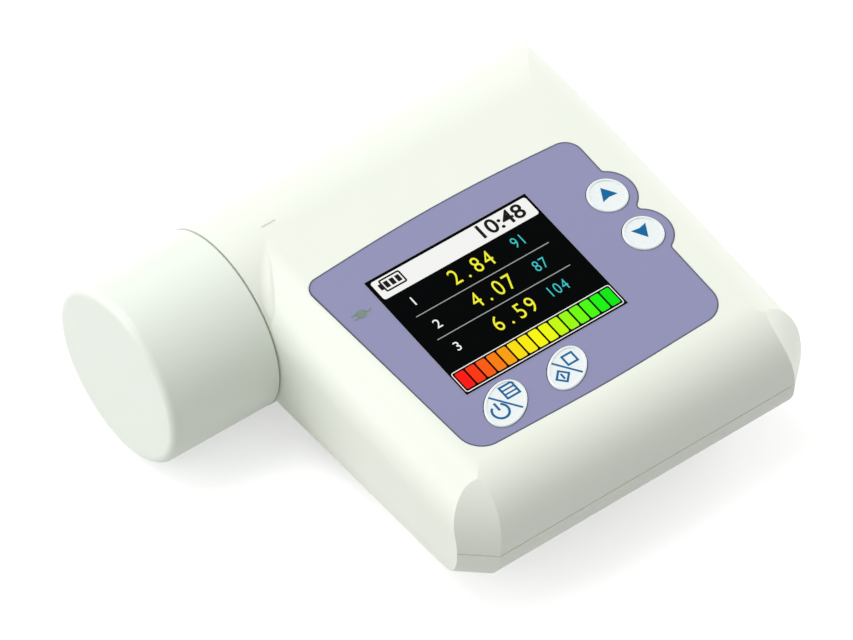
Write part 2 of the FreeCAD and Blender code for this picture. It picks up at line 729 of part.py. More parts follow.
def light_pipe():
    led_height = 0.6
    pipe = Part.makeCylinder(LIGHT_PIPE_R, -OVERLAY_THICK - (BOARD_TOP + led_height),
                             Vector(LIGHT_U, LIGHT_V, BOARD_TOP + led_height))
    return on_panel(pipe)


def charge_led():
    return on_panel(box(LIGHT_U - 0.8, LIGHT_U + 0.8, LIGHT_V - 0.4, LIGHT_V + 0.4,
                        BOARD_TOP, BOARD_TOP + 0.6))


def key_cap(name):
    face, _ = KEYS[name]
    flange_top = WALL_UNDER - KEY_FLANGE_PLAY
    flange_under = flange_top - KEY_FLANGE_THICK
    cap = raise_face(face(0), flange_under, KEY_PROUD)
    rim = [e for e in cap.Edges if e.CenterOfMass.z > KEY_PROUD - 1e-3]
    cap = cap.makeFillet(KEY_EDGE_R, rim).cut(raise_face(face(-KEY_RIM), KEY_PROUD - KEY_DISH, TALL))
    flange = raise_face(face(KEY_FLANGE), flange_under, flange_top)
    _, _, v0, _ = module_span()
    u1 = module_span()[1]
    flange = flange.cut(box(-WIDE, u1 + 0.5, v0 - 0.4, TALL, -TALL, TALL))
    return on_panel(cap.fuse(flange).removeSplitter())


def key_plunger(name):
    _, centre = KEYS[name]
    top = WALL_UNDER - KEY_FLANGE_PLAY - KEY_FLANGE_THICK
    bottom = BOARD_TOP + 0.4 + KEY_TRAVEL
    return on_panel(Part.makeCylinder(PLUNGER_R, top - bottom, centre + Vector(0, 0, bottom)))


def switch_bodies():
    bodies = []
    for _, centre in KEYS.values():
        half = SWITCH_SIDE / 2
        case = box(centre.x - half, centre.x + half, centre.y - half, centre.y + half,
                   BOARD_TOP, BOARD_TOP + SWITCH_HEIGHT)
        well = Part.makeCylinder(PLUNGER_R + PLUNGER_GAP, SWITCH_HEIGHT,
                                 centre + Vector(0, 0, BOARD_TOP + 0.35))
        bodies.append(case.cut(well))
    return on_panel(Part.makeCompound(bodies))


def screw(radius, length, head_radius, head_height):
    """Pan head screw along +Z with its head's underside at z = 0."""
    shank = Part.makeCylinder(radius, length - radius)
    tip = Part.makeCone(radius, 0.3 * radius, radius, Vector(0, 0, length - radius))
    head = Part.makeCylinder(head_radius, head_height, Vector(0, 0, -head_height))
    rim = [e for e in head.Edges if e.CenterOfMass.z < -head_height + 1e-3]
    head = head.makeFillet(0.4 * head_height, rim)
    slot = 0.3 * head_radius
    for a, b in ((0.7 * head_radius, slot / 2), (slot / 2, 0.7 * head_radius)):
        head = head.cut(box(-a, a, -b, b, -head_height - 1, -0.5 * head_height))
    return shank.multiFuse([tip, head]).removeSplitter()


def case_screws():
    screws = []
    for x, y in case_screw_places():
        one = screw(CASE_SCREW_R - 0.15, CASE_SCREW_LENGTH, CASE_HEAD_R, CASE_HEAD_HEIGHT)
        one.translate(Vector(x, y, CASE_SCREW_SEAT_Z))
        screws.append(one)
    return Part.makeCompound(screws)


def board_screws():
    screws = []
    for u, v in board_screw_places():
        one = screw(BOARD_SCREW_R - 0.1, BOARD_SCREW_LENGTH, 1.7, 1.0)
        one.translate(Vector(u, v, BOARD_UNDER))
        screws.append(one)
    return on_panel(Part.makeCompound(screws))


def battery_pad():
    return box(-BATTERY_LENGTH / 2, BATTERY_LENGTH / 2, BATTERY_Y - BATTERY_DEPTH / 2,
               BATTERY_Y + BATTERY_DEPTH / 2, WALL, WALL + BATTERY_PAD)


def battery_pack():
    low = WALL + BATTERY_PAD
    pack = box(-BATTERY_LENGTH / 2, BATTERY_LENGTH / 2, BATTERY_Y - BATTERY_DEPTH / 2,
               BATTERY_Y + BATTERY_DEPTH / 2, low, low + BATTERY_HEIGHT)
    edges = [e for e in pack.Edges if abs(e.tangentAt(e.FirstParameter).y) > 0.9]
    return pack.makeFillet(2.0, edges)


def sensor_board():
    back = sensor_board_face_y()
    z0, z1 = sensor_board_z()
    half = SENSOR_BOARD_WIDTH / 2
    return box(ROTOR_X - half, ROTOR_X + half, back - SENSOR_BOARD_THICK, back, z0, z1)


def sensor_light(x, z):
    """Small round emitter or detector that looks through a sleeve window."""
    face_y = sensor_board_face_y()
    base = Part.makeCylinder(SENSOR_LED_R + 0.3, 0.6, Vector(x, face_y, z), Vector(0, 1, 0))
    lamp = Part.makeCylinder(SENSOR_LED_R, 2.2, Vector(x, face_y, z), Vector(0, 1, 0))
    dome = Part.makeSphere(SENSOR_LED_R, Vector(x, face_y + 2.2, z))
    return base.multiFuse([lamp, dome]).removeSplitter()


def sensor_row(z_sign):
    z = AXIS_Z + z_sign * SENSOR_LED_Z
    return Part.makeCompound([sensor_light(ROTOR_X + s * SENSOR_LED_X, z) for s in (-1, 1)])


def sensor_sleeve():
    sleeve = tube_x(SLEEVE_R, SLEEVE_BORE_R, -SLEEVE_INLET_END, SLEEVE_OUTLET_END)
    for x0, x1 in ((-SLEEVE_INLET_END, SLEEVE_COLLAR - SLEEVE_INLET_END),
                   (SLEEVE_OUTLET_END - SLEEVE_COLLAR, SLEEVE_OUTLET_END)):
        sleeve = sleeve.fuse(tube_x(BARREL_BORE_R, SLEEVE_BORE_R, x0, x1))
    for x_sign in (-1, 1):
        for z_sign in (-1, 1):
            window = Part.makeCylinder(SENSOR_LED_R + 0.2, 12,
                                       Vector(ROTOR_X + x_sign * SENSOR_LED_X, AXIS_Y - 16,
                                              AXIS_Z + z_sign * SENSOR_LED_Z), Vector(0, 1, 0))
            sleeve = sleeve.cut(window)
    return sleeve.cut(key_rib(FIT_GAP)).removeSplitter()


def key_rib(grow):
    """Rib under the tube's flange that stops the cartridge from turning."""
    half = KEY_RIB / 2 + grow
    x0 = -SLEEVE_INLET_END - 0.5
    return box(x0, -SLEEVE_INLET_END + 4.0 + grow, AXIS_Y - half, AXIS_Y + half,
               AXIS_Z - TUBE_R - 1.0 - grow, AXIS_Z - TUBE_R + 0.6)


def flow_tube():
    """Cartridge body: mouthpiece neck, flange and measuring tube in one moulding."""
    face_x = -BARREL_HALF_LENGTH
    neck_end = face_x - NECK_LENGTH
    neck = cylinder_x(NECK_R, neck_end, face_x)
    flange = cylinder_x(BARREL_BORE_R - FLANGE_PLAY, face_x, -SLEEVE_INLET_END)
    tube = cylinder_x(TUBE_R, -SLEEVE_INLET_END, TUBE_INNER_END)
    solid = neck.multiFuse([flange, tube, key_rib(0).cut(cylinder_x(TUBE_R - 0.5, -TALL, TALL))])
    socket_end = neck_end + NECK_BORE_DEPTH
    cone_end = -SLEEVE_INLET_END
    cone = Part.makeCone(NECK_BORE_R - 0.8, TUBE_BORE_R, cone_end - socket_end,
                         Vector(socket_end, AXIS_Y, AXIS_Z), Vector(1, 0, 0))
    for tool in (cylinder_x(NECK_BORE_R, neck_end - 1, socket_end), cone,
                 cylinder_x(TUBE_BORE_R, cone_end - 0.01, TUBE_INNER_END + 1)):
        solid = solid.cut(tool)
    for x, outer in ((NECK_ORING_X, NECK_R), (SEAT_ORING_X, TUBE_R)):
        depth = oring_depth(outer)
        solid = solid.cut(tube_x(outer + 1, outer - depth, x - ORING_SECTION / 2 - 0.1,
                                 x + ORING_SECTION / 2 + 0.1))
    return solid.removeSplitter()


def oring_depth(outer):
    """Groove depth that leaves the ring level with the bore it seals against."""
    bore = CAP_BORE_R if outer == NECK_R else SLEEVE_BORE_R
    return ORING_SECTION * 0.7 - (bore - ORING_GAP - outer)


def oring(x, outer):
    """Seal ring, drawn as its squeezed section."""
    bore = CAP_BORE_R if outer == NECK_R else SLEEVE_BORE_R
    r_out = bore - ORING_GAP
    r_in = outer - oring_depth(outer)
    ring = tube_x(r_out, r_in, x - ORING_SECTION / 2, x + ORING_SECTION / 2)
    return ring.makeFillet(0.3 * (r_out - r_in), ring.Edges)


def swirl_stator(x0, twist):
    """Ring of helical blades round a hub that turns the breath before or after the vane."""
    ring = tube_x(TUBE_BORE_R, TUBE_BORE_R - STATOR_RING, x0, x0 + STATOR_LENGTH)
    hub = cylinder_x(STATOR_HUB_R, x0, x0 + STATOR_LENGTH)
    blades = []
    span = (STATOR_HUB_R - 0.3, TUBE_BORE_R - 0.4)
    for i in range(STATOR_BLADES):
        sections = []
        for step in range(4):
            share = step / 3
            turn = 360.0 * i / STATOR_BLADES + twist * share
            half = BLADE_THICK / 2
            points = [Vector(0, -half, span[0]), Vector(0, half, span[0]),
                      Vector(0, half, span[1]), Vector(0, -half, span[1])]
            spin = Rotation(Vector(1, 0, 0), turn)
            place = Vector(x0 + 0.3 + (STATOR_LENGTH - 0.6) * share, AXIS_Y, AXIS_Z)
            corners = [place + spin.multVec(p) for p in points]
            sections.append(Part.makePolygon(corners + corners[:1]))
        blades.append(Part.makeLoft(sections, True, False))
    return ring.multiFuse([hub] + blades)


def stator_with_seat(x0, twist, seat_x0):
    """Stator with the pocket that takes its pivot bearing."""
    pocket = cylinder_x(BEARING_R, seat_x0, seat_x0 + BEARING_LENGTH)
    return swirl_stator(x0, twist).cut(pocket).removeSplitter()


def bearing(seat_x0, open_to_right):
    """Cup bearing: a bush with a closed end that takes the axle's thrust."""
    cup = cylinder_x(BEARING_R, seat_x0, seat_x0 + BEARING_LENGTH)
    bore_r = AXLE_R + AXLE_CLEARANCE
    floor = 0.5
    if open_to_right:
        return cup.cut(cylinder_x(bore_r, seat_x0 + floor, seat_x0 + BEARING_LENGTH + 1))
    return cup.cut(cylinder_x(bore_r, seat_x0 - 1, seat_x0 + BEARING_LENGTH - floor))


def rotor_axle():
    x0 = INLET_END - BEARING_LENGTH + 0.5 + 0.1
    x1 = OUTLET_START + BEARING_LENGTH - 0.5 - 0.1
    return cylinder_x(AXLE_R, x0, x1)


def rotor_vane():
    """One flat vane that spans the tube, with a boss round its axle."""
    vane = box(ROTOR_START, ROTOR_END, AXIS_Y - VANE_THICK / 2, AXIS_Y + VANE_THICK / 2,
               AXIS_Z - ROTOR_R, AXIS_Z + ROTOR_R)
    boss = cylinder_x(AXLE_R + 0.6, ROTOR_START - 0.5, ROTOR_END + 0.5)
    corners = [e for e in vane.Edges if abs(e.tangentAt(e.FirstParameter).y) > 0.9]
    vane = vane.makeFillet(1.5, corners).fuse(boss)
    return vane.cut(cylinder_x(AXLE_R, ROTOR_START - 5, ROTOR_END + 5)).removeSplitter()


def outlet_ring():
    """Ring that lines the air outlet, a little below the rounded end of the barrel."""
    ring = tube_x(OUTLET_RING_R, OUTLET_R, SLEEVE_OUTLET_END, BARREL_HALF_LENGTH)
    return ring.common(body(OUTLET_RING_SETBACK))


def mouth_cap():
    x1 = -BARREL_HALF_LENGTH - CAP_SEAM
    x0 = x1 - CAP_LENGTH
    cap = cylinder_x(CAP_R, x0, x1)
    end = [e for e in cap.Edges if e.CenterOfMass.x < x0 + 1e-3]
    cap = cap.makeFillet(CAP_EDGE_R, end)
    bore = cylinder_x(CAP_BORE_R, x0 + CAP_END_WALL, x1 + 1)
    floor = [e for e in bore.Edges if e.CenterOfMass.x < x0 + CAP_END_WALL + 1e-3]
    return cap.cut(bore.makeFillet(1.0, floor))


def build():
    outer = body(0)
    cavity = body(WALL)
    nodes = {
        "upper_shell": upper_shell(outer, cavity),
        "lower_shell": lower_shell(outer, cavity),
        "front_overlay": front_overlay(),
        "display_window": display_window(),
        "display_gasket": display_gasket(),
        "display_module": display_module(),
        "display_flex": display_flex(),
        "main_board": main_board(),
        "board_chips": board_chips(),
        "board_screws": board_screws(),
        "switch_bodies": switch_bodies(),
        "sounder": sounder(),
        "usb_socket": usb_socket(),
        "charge_led": charge_led(),
        "light_pipe": light_pipe(),
        "case_screws": case_screws(),
        "battery_pad": battery_pad(),
        "battery_pack": battery_pack(),
        "sensor_board": sensor_board(),
        "ir_emitters": sensor_row(1),
        "ir_detectors": sensor_row(-1),
        "sensor_sleeve": sensor_sleeve(),
        "outlet_ring": outlet_ring(),
        "flow_tube": flow_tube(),
        "seat_oring": oring(SEAT_ORING_X, TUBE_R),
        "neck_oring": oring(NECK_ORING_X, NECK_R),
        "inlet_stator": stator_with_seat(INLET_END - STATOR_LENGTH, STATOR_TWIST_DEG,
                                         INLET_END - BEARING_LENGTH),
        "outlet_stator": stator_with_seat(OUTLET_START, -STATOR_TWIST_DEG, OUTLET_START),
        "inlet_bearing": bearing(INLET_END - BEARING_LENGTH, True),
        "outlet_bearing": bearing(OUTLET_START, False),
        "rotor_vane": rotor_vane(),
        "rotor_axle": rotor_axle(),
        "mouth_cap": mouth_cap(),
    }
    for name in KEYS:
        nodes["key_" + name] = key_cap(name)
        nodes["plunger_" + name] = key_plunger(name)
    os.makedirs("parts", exist_ok=True)
    for name, shape in nodes.items():
        if not shape.isValid():
            print("invalid", name)
        print(name, "solids", len(shape.Solids), "volume", round(shape.Volume, 2))
        shape.exportStep("parts/" + name + ".step")


build()
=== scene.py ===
"""Looks of the handheld spirometer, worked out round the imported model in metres.

Panel places are written in millimetres as (u, v, n): u to the right, v up the sloping panel from
its front edge, and n off its face.
"""
import math
import bpy
import numpy as np
from mathutils import Matrix, Vector


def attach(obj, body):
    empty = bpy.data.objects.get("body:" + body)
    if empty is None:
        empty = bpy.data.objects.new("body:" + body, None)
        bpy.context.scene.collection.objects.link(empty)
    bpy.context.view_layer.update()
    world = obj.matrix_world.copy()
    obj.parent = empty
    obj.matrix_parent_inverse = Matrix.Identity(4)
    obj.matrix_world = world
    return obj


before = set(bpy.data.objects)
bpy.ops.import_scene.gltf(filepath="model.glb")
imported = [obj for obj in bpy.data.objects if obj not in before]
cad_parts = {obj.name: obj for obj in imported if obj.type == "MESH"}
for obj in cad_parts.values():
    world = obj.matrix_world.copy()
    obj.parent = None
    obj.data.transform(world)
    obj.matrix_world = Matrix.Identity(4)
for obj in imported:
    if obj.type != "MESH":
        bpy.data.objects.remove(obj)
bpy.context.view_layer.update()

MM = 0.001
TAU = 2 * math.pi

# Panel of the housing, as the solids have it
SLOPE = math.radians(5.26)
BARREL_R = 17.0
BARREL_Y = 26.55
BARREL_Z = 17.6
FRONT_Y = -43.55
PANEL_Z = (BARREL_Z + BARREL_R * math.cos(SLOPE)
           + (FRONT_Y - BARREL_Y + BARREL_R * math.sin(SLOPE)) * math.tan(SLOPE))
# Key caps stand KEY_FACE proud of the panel; a print stands INK high and starts SUNK below its face
KEY_FACE = 0.1
INK = 0.03
SUNK = 0.01

# Left and right edge of the display window on the panel
WINDOW_LEFT, WINDOW_RIGHT = -21.7, 12.6

# Height of a figure of the built-in font at size 1, and the height off the face within which a point is on it
FIGURE_HEIGHT = 0.7
FACE_TOLERANCE = 0.05


def panel_to_frame(points):
    """(u, v, n) in mm to the row frame in metres: a turn by the slope about X, then the panel's origin."""
    u, v, n = np.moveaxis(np.asarray(points, float), -1, 0)
    y = FRONT_Y + v * math.cos(SLOPE) - n * math.sin(SLOPE)
    z = PANEL_Z + v * math.sin(SLOPE) + n * math.cos(SLOPE)
    return np.stack([u, y, z], axis=-1) * MM


def linear(hex_colour):
    """sRGB hex to linear RGBA: c / 12.92 below 0.04045, else ((c + 0.055) / 1.055) ^ 2.4."""
    c = np.array([int(hex_colour[i:i + 2], 16) for i in (1, 3, 5)]) / 255
    rgb = np.where(c <= 0.04045, c / 12.92, ((c + 0.055) / 1.055) ** 2.4)
    return (*rgb.tolist(), 1.0)


# Meshes

def new_piece(name, points, faces, material, body):
    """A mesh object at the origin from points in metres, with one material, riding on a body."""
    mesh = bpy.data.meshes.new(name)
    mesh.from_pydata(np.asarray(points).tolist(), [], faces)
    mesh.update()
    mesh.materials.append(material)
    piece = bpy.data.objects.new(name, mesh)
    bpy.context.scene.collection.objects.link(piece)
    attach(piece, body)
    return piece


def gather(parts):
    """Joins (points, faces) parts into one: each part's face numbers move up by the points before it."""
    points, faces, offset = [], [], 0
    for part_points, part_faces in parts:
        points.append(part_points)
        faces += [[i + offset for i in face] for face in part_faces]
        offset += len(part_points)
    return np.concatenate(points), faces


def plate(outline, low=-SUNK, high=INK):
    """Flat prism in panel mm: the outline (k, 2), counter-clockwise, at n = low and n = high, with side walls."""
    outline = np.asarray(outline, float)
    k = len(outline)
    rings = [np.column_stack([outline, np.full(k, n)]) for n in (low, high)]
    ahead = np.roll(np.arange(k), -1)
    walls = np.column_stack([np.arange(k), ahead, ahead + k, np.arange(k) + k]).tolist()
    faces = [list(range(k - 1, -1, -1)), list(range(k, 2 * k))] + walls
    return np.concatenate(rings), faces


def stroke(path, width, closed=False, low=-SUNK, high=INK):
    """A line of ink in panel mm: each point of the path moves half the width to both sides along the mitre."""
    path = np.asarray(path, float)
    ahead = np.roll(path, -1, axis=0) - path
    behind = path - np.roll(path, 1, axis=0)
    if not closed:
        ahead[-1] = behind[-1]
        behind[0] = ahead[0]
    normals = []
    for step in (behind, ahead):
        unit = step / np.linalg.norm(step, axis=1)[:, None]
        normals.append(np.column_stack([-unit[:, 1], unit[:, 0]]))
    mitre = normals[0] + normals[1]
    mitre /= np.sum(mitre * normals[0], axis=1)[:, None]
    k = len(path)
    rows = [np.column_stack([path + side * mitre * width / 2, np.full(k, n)])
            for side, n in ((-1, low), (-1, high), (1, high), (1, low))]
    last = k if closed else k - 1
    i = np.arange(last)
    j = (i + 1) % k
    faces = []
    for a, b in ((0, 1), (1, 2), (2, 3), (3, 0)):
        faces += np.column_stack([a * k + i, a * k + j, b * k + j, b * k + i]).tolist()
    if not closed:
        faces += [[0, k, 2 * k, 3 * k], [k - 1, 4 * k - 1, 3 * k - 1, 2 * k - 1]]
    return np.concatenate(rows), faces


def arc(centre, radius, start, end, count=24):
    """Points on a circle from one angle to another, in degrees; radius may be (a, b) for an oval."""
    angle = np.radians(np.linspace(start, end, count))
    a, b = radius if isinstance(radius, tuple) else (radius, radius)
    return np.column_stack([centre[0] + a * np.cos(angle), centre[1] + b * np.sin(angle)])


def rounded_box(left, right, low, high, radius, count=7):
    """Rectangle outline whose corners are quarter circles."""
    corners = ((right - radius, low + radius, -90), (right - radius, high - radius, 0),
               (left + radius, high - radius, 90), (left + radius, low + radius, 180))
    return np.concatenate([arc((u, v), radius, turn, turn + 90, count) for u, v, turn in corners])


def box_outline(left, right, low, high):
    return np.array([(left, low), (right, low), (right, high), (left, high)], float)


def on_panel(name, parts, material, body="housing", lift=0.0):
    """Joins flat parts and carries them to the panel, lifted along its normal."""
    points, faces = gather(parts)
    points = points + np.array([0.0, 0.0, lift])
    return new_piece(name, panel_to_frame(points), faces, material, body)


def digits(text, left, base, height, stretch=1.0, weight=0.0):
    """Digits as flat solid parts: the built-in font, scaled so that a figure is as high as asked."""
    curve = bpy.data.curves.new("digits", "FONT")
    curve.body = text
    curve.extrude = 0.5
    curve.offset = weight
    curve.resolution_u = 4
    holder = bpy.data.objects.new("digits", curve)
    bpy.context.scene.collection.objects.link(holder)
    mesh = bpy.data.meshes.new_from_object(holder.evaluated_get(bpy.context.evaluated_depsgraph_get()))
    points = np.empty(len(mesh.vertices) * 3)
    mesh.vertices.foreach_get("co", points)
    points = points.reshape(-1, 3)
    faces = [list(face.vertices) for face in mesh.polygons]
    bpy.data.objects.remove(holder)
    bpy.data.curves.remove(curve)
    bpy.data.meshes.remove(mesh)
    scale = height / FIGURE_HEIGHT
    points[:, 0] = left + (points[:, 0] - points[:, 0].min()) * scale * stretch
    points[:, 1] = base + points[:, 1] * scale
    points[:, 2] = np.where(points[:, 2] > 0, INK, -SUNK)
    return points, faces


def in_cells(text, left, base, height, pitch, stretch, weight=0.0):
    """Digits as a display sets them: each in a cell of its own, one pitch from the last and centred in it."""
    parts = []
    for i, figure in enumerate(text):
        points, faces = digits(figure, 0.0, base, height, stretch, weight)
        points[:, 0] += left + (i + 0.5) * pitch - points[:, 0].max() / 2
        parts.append((points, faces))
    return gather(parts)


def frame_to_panel(points):
    """The way back from the row frame in metres to panel mm (u, v, n)."""
    x, y, z = np.moveaxis(np.asarray(points, float) / MM, -1, 0)
    y, z = y - FRONT_Y, z - PANEL_Z
    v = y * math.cos(SLOPE) + z * math.sin(SLOPE)
    n = z * math.cos(SLOPE) - y * math.sin(SLOPE)
    return np.stack([x, v, n], axis=-1)


def film_outlines():
    """Closed edge loops of the film's top face in panel mm, from the longest to the shortest."""
    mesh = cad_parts["front_overlay"].data
    corners = np.empty(len(mesh.vertices) * 3)
    mesh.vertices.foreach_get("co", corners)
    panel = frame_to_panel(corners.reshape(-1, 3))
    number = {}
    place = [number.setdefault(tuple(np.round(spot, 3)), len(number)) for spot in panel]
    spots = np.array(list(number))
    ahead = {}
    for face in mesh.polygons:
        ring = [place[i] for i in face.vertices]
        if np.abs(spots[ring, 2]).max() < FACE_TOLERANCE:
            for a, b in zip(ring, ring[1:] + ring[:1]):
                if ahead.get(b) and a in ahead[b]:
                    ahead[b].discard(a)
                else:
                    ahead.setdefault(a, set()).add(b)
    loops = []
    while any(ahead.values()):
        start = next(a for a, following in ahead.items() if following)
        loop, here = [start], ahead[start].pop()
        while here != start:
            loop.append(here)
            here = ahead[here].pop()
        loops.append(spots[loop][:, :2])
    length = [np.linalg.norm(loop - np.roll(loop, 1, axis=0), axis=1).sum() for loop in loops]
    return [loops[i] for i in np.argsort(length)[::-1]]


# Materials

def add(tree, kind, inputs=None, **settings):
    """Adds a shader node with its settings; an input that is a socket is linked, any other is set."""
    made = tree.nodes.new(kind)
    for key, value in settings.items():
        setattr(made, key, value)
    for key, value in (inputs or {}).items():
        if isinstance(value, bpy.types.NodeSocket):
            tree.links.new(value, made.inputs[key])
        else:
            made.inputs[key].default_value = value
    return made


def grained(name, light, dark, roughness, patch_mm=14.0, grain_mm=0.5, grain_um=6.0, spread=0.05, **shader):
    """Surface with slow colour drift, and a fine grain that moves its height and roughness.

    The drift is noise over patch_mm; the grain is noise over grain_mm, grain_um high. Sockets 6 and 7 of a
    colour mix are its two colours, and output 2 is the mixed one.
    """
    material = bpy.data.materials.new(name)
    material.use_nodes = True
    tree = material.node_tree
    surface = tree.nodes["Principled BSDF"]
    place = add(tree, "ShaderNodeTexCoord").outputs["Object"]
    drift = add(tree, "ShaderNodeTexNoise", {"Vector": place, "Scale": 1 / (patch_mm * MM), "Detail": 2.0})
    grain = add(tree, "ShaderNodeTexNoise", {"Vector": place, "Scale": 1 / (grain_mm * MM), "Detail": 3.0})
    colour = add(tree, "ShaderNodeMix", {0: drift.outputs["Fac"], 6: linear(light), 7: linear(dark)},
                 data_type="RGBA")
    rough = add(tree, "ShaderNodeMapRange", {"Value": grain.outputs["Fac"], "From Min": 0.3, "From Max": 0.7,
                                             "To Min": roughness - spread, "To Max": roughness + spread})
    bump = add(tree, "ShaderNodeBump", {"Height": grain.outputs["Fac"], "Distance": grain_um * 1e-6,
                                        "Strength": 1.0})
    tree.links.new(colour.outputs[2], surface.inputs["Base Color"])
    tree.links.new(rough.outputs["Result"], surface.inputs["Roughness"])
    tree.links.new(bump.outputs["Normal"], surface.inputs["Normal"])
    for key, value in shader.items():
        surface.inputs[key.replace("_", " ")].default_value = value
    material.diffuse_color = linear(light)
    return material


def glowing(name, hex_colour, strength=0.95):
    """Lit picture elements of the display: black when off, so their colour is all light of their own."""
    return grained(name, "#0A0A0B", "#080809", 0.3, grain_um=0.5, spread=0.02, Specular_IOR_Level=0.05,
                   Emission_Color=linear(hex_colour), Emission_Strength=strength)


# Moulded ABS with a fine spark-eroded skin: soft, wide highlights and a faint warm-green white
SHELL_ABS = grained("moulded_abs_shell", "#F8FCF1", "#F5FAED", 0.45, grain_mm=0.45, grain_um=5.0,
                    Coat_Weight=0.08, Coat_Roughness=0.35)
# The cap is the same ABS from another tool, a little smoother and cooler
CAP_ABS = grained("moulded_abs_cap", "#F5FCF1", "#F2F9ED", 0.4, grain_mm=0.4, grain_um=4.0,
                  Coat_Weight=0.1, Coat_Roughness=0.3)
# Screen-printed polycarbonate film, velvet side out: even lavender with hardly any shine
PANEL_FILM = grained("printed_polycarbonate_film", "#9091B7", "#8D8EB5", 0.5, patch_mm=20.0, grain_mm=0.3,
                     grain_um=3.0)
# Painted shade: a dark grey line on the film's top face along its edge, standing in for the shade at the film's
# edge step
FILM_EDGE_SHADE = grained("painted_film_edge_shade", "#666779", "#606173", 0.5, grain_um=2.0, Specular_IOR_Level=0.2)
# Painted highlight: a thin pale line round the display, standing in for light caught on the clear window's bevel
WINDOW_BEVEL_HIGHLIGHT = grained("painted_window_highlight", "#9C9DB4", "#9596AE", 0.3, grain_um=1.0)
# Polished ABS key caps: glossier than the shell, blue-white
KEY_ABS = grained("polished_abs_keys", "#F6FCFC", "#F2FAF8", 0.26, grain_mm=0.6, grain_um=2.0,
                  Coat_Weight=0.3, Coat_Roughness=0.12)
# Pad-printed ink on the keys, thin and slightly glossy
KEY_INK = grained("blue_pad_print", "#006BA6", "#00669E", 0.4, grain_um=1.0, Specular_IOR_Level=0.15)
GREEN_INK = grained("grey_green_screen_print", "#7A8E82", "#74877B", 0.4, grain_um=1.0)
GREY_INK = grained("grey_pad_print", "#D6DDCE", "#D0D8C8", 0.45, grain_um=1.0)
# Clear acrylic over a dark colour display: black, with only a faint reflection
DARK_WINDOW = grained("acrylic_over_dark_display", "#030405", "#020303", 0.14, grain_mm=0.2, grain_um=0.5,
                      spread=0.03, Specular_IOR_Level=0.02)

WHITE_GLOW = glowing("display_white", "#F8F9F6")
GREY_GLOW = glowing("display_grey", "#A4A8A4")
BLACK_SEGMENT = grained("display_black_figures", "#08090B", "#060708", 0.3, grain_um=0.5,
                        Specular_IOR_Level=0.1)
YELLOW_GLOW = glowing("display_yellow", "#F6F432")
CYAN_GLOW = glowing("display_cyan", "#3CCACC")

GREEN_BOARD = grained("solder_resist_on_glass_epoxy", "#1B6B3C", "#175C34", 0.35, patch_mm=6.0, grain_mm=0.8)
EPOXY_CHIP = grained("moulded_epoxy_chip", "#1B1B1D", "#151517", 0.6, grain_mm=0.2, grain_um=4.0)
ZINC_STEEL = grained("zinc_plated_steel", "#C9CCD0", "#BFC3C8", 0.28, patch_mm=3.0, grain_mm=0.3, Metallic=1.0)
NICKEL_SHELL = grained("nickel_plated_socket", "#CFCBC2", "#C4C0B7", 0.22, patch_mm=3.0, Metallic=1.0)
TURNED_BRASS = grained("turned_brass", "#D6B26A", "#C9A45C", 0.25, patch_mm=2.0, grain_mm=0.15, Metallic=1.0)
PE_FOAM = grained("closed_cell_foam", "#2C2D30", "#242528", 0.9, patch_mm=3.0, grain_mm=0.5, grain_um=60.0)
POLYIMIDE = grained("polyimide_ribbon", "#C9852F", "#BD7926", 0.35, patch_mm=4.0)
PACK_FILM = grained("shrink_film_on_cell", "#3F6FA8", "#38659B", 0.3, patch_mm=8.0, grain_um=20.0)
BLACK_ABS = grained("black_moulded_abs", "#1C1D20", "#17181B", 0.45, grain_mm=0.4)
NITRILE = grained("nitrile_rubber_ring", "#1A1A1B", "#141415", 0.55, grain_mm=0.3, grain_um=4.0)
# Measuring tube of smoky clear polycarbonate that infrared passes: milky here, as it is thick and ribbed
TUBE_PC = grained("smoky_polycarbonate", "#C7D2D6", "#BCC9CE", 0.2, grain_um=1.5, Coat_Weight=0.4,
                  Coat_Roughness=0.08)
STATOR_PC = grained("polished_polycarbonate_blades", "#DDE6E8", "#D2DDE0", 0.22, grain_um=1.5)
VANE_FILM = grained("black_polyester_vane", "#121316", "#0E0F11", 0.3, patch_mm=5.0, grain_um=1.0)
LED_EPOXY = grained("clear_epoxy_lens", "#E9EEF2", "#DDE4EA", 0.08, grain_um=0.5, Transmission_Weight=0.7)
SMOKED_EPOXY = grained("smoked_epoxy_lens", "#1F1620", "#1A121B", 0.1, grain_um=0.5)
AMBER_LAMP = grained("charge_lamp", "#F2D9A0", "#E8CC8E", 0.2, grain_um=0.5)

NODE_FINISH = {
    "upper_shell": SHELL_ABS, "lower_shell": SHELL_ABS, "outlet_ring": SHELL_ABS, "mouth_cap": CAP_ABS,
    "front_overlay": PANEL_FILM, "display_window": DARK_WINDOW, "display_module": DARK_WINDOW,
    "display_gasket": PE_FOAM, "battery_pad": PE_FOAM, "display_flex": POLYIMIDE,
    "main_board": GREEN_BOARD, "sensor_board": GREEN_BOARD, "board_chips": EPOXY_CHIP,
    "switch_bodies": EPOXY_CHIP, "sounder": EPOXY_CHIP, "board_screws": ZINC_STEEL,
    "case_screws": ZINC_STEEL, "rotor_axle": ZINC_STEEL, "usb_socket": NICKEL_SHELL,
    "charge_led": AMBER_LAMP, "light_pipe": LED_EPOXY, "battery_pack": PACK_FILM,
    "ir_emitters": LED_EPOXY, "ir_detectors": SMOKED_EPOXY, "sensor_sleeve": BLACK_ABS,
    "flow_tube": TUBE_PC, "inlet_stator": STATOR_PC, "outlet_stator": STATOR_PC,
    "seat_oring": NITRILE, "neck_oring": NITRILE, "inlet_bearing": TURNED_BRASS,
    "outlet_bearing": TURNED_BRASS, "rotor_vane": VANE_FILM,
}
KEY_NAMES = ("up", "down", "menu", "start")
for key in KEY_NAMES:
    NODE_FINISH["key_" + key] = KEY_ABS
    NODE_FINISH["plunger_" + key] = BLACK_ABS
for node_name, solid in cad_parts.items():
    solid.data.materials.clear()
    solid.data.materials.append(NODE_FINISH[node_name])


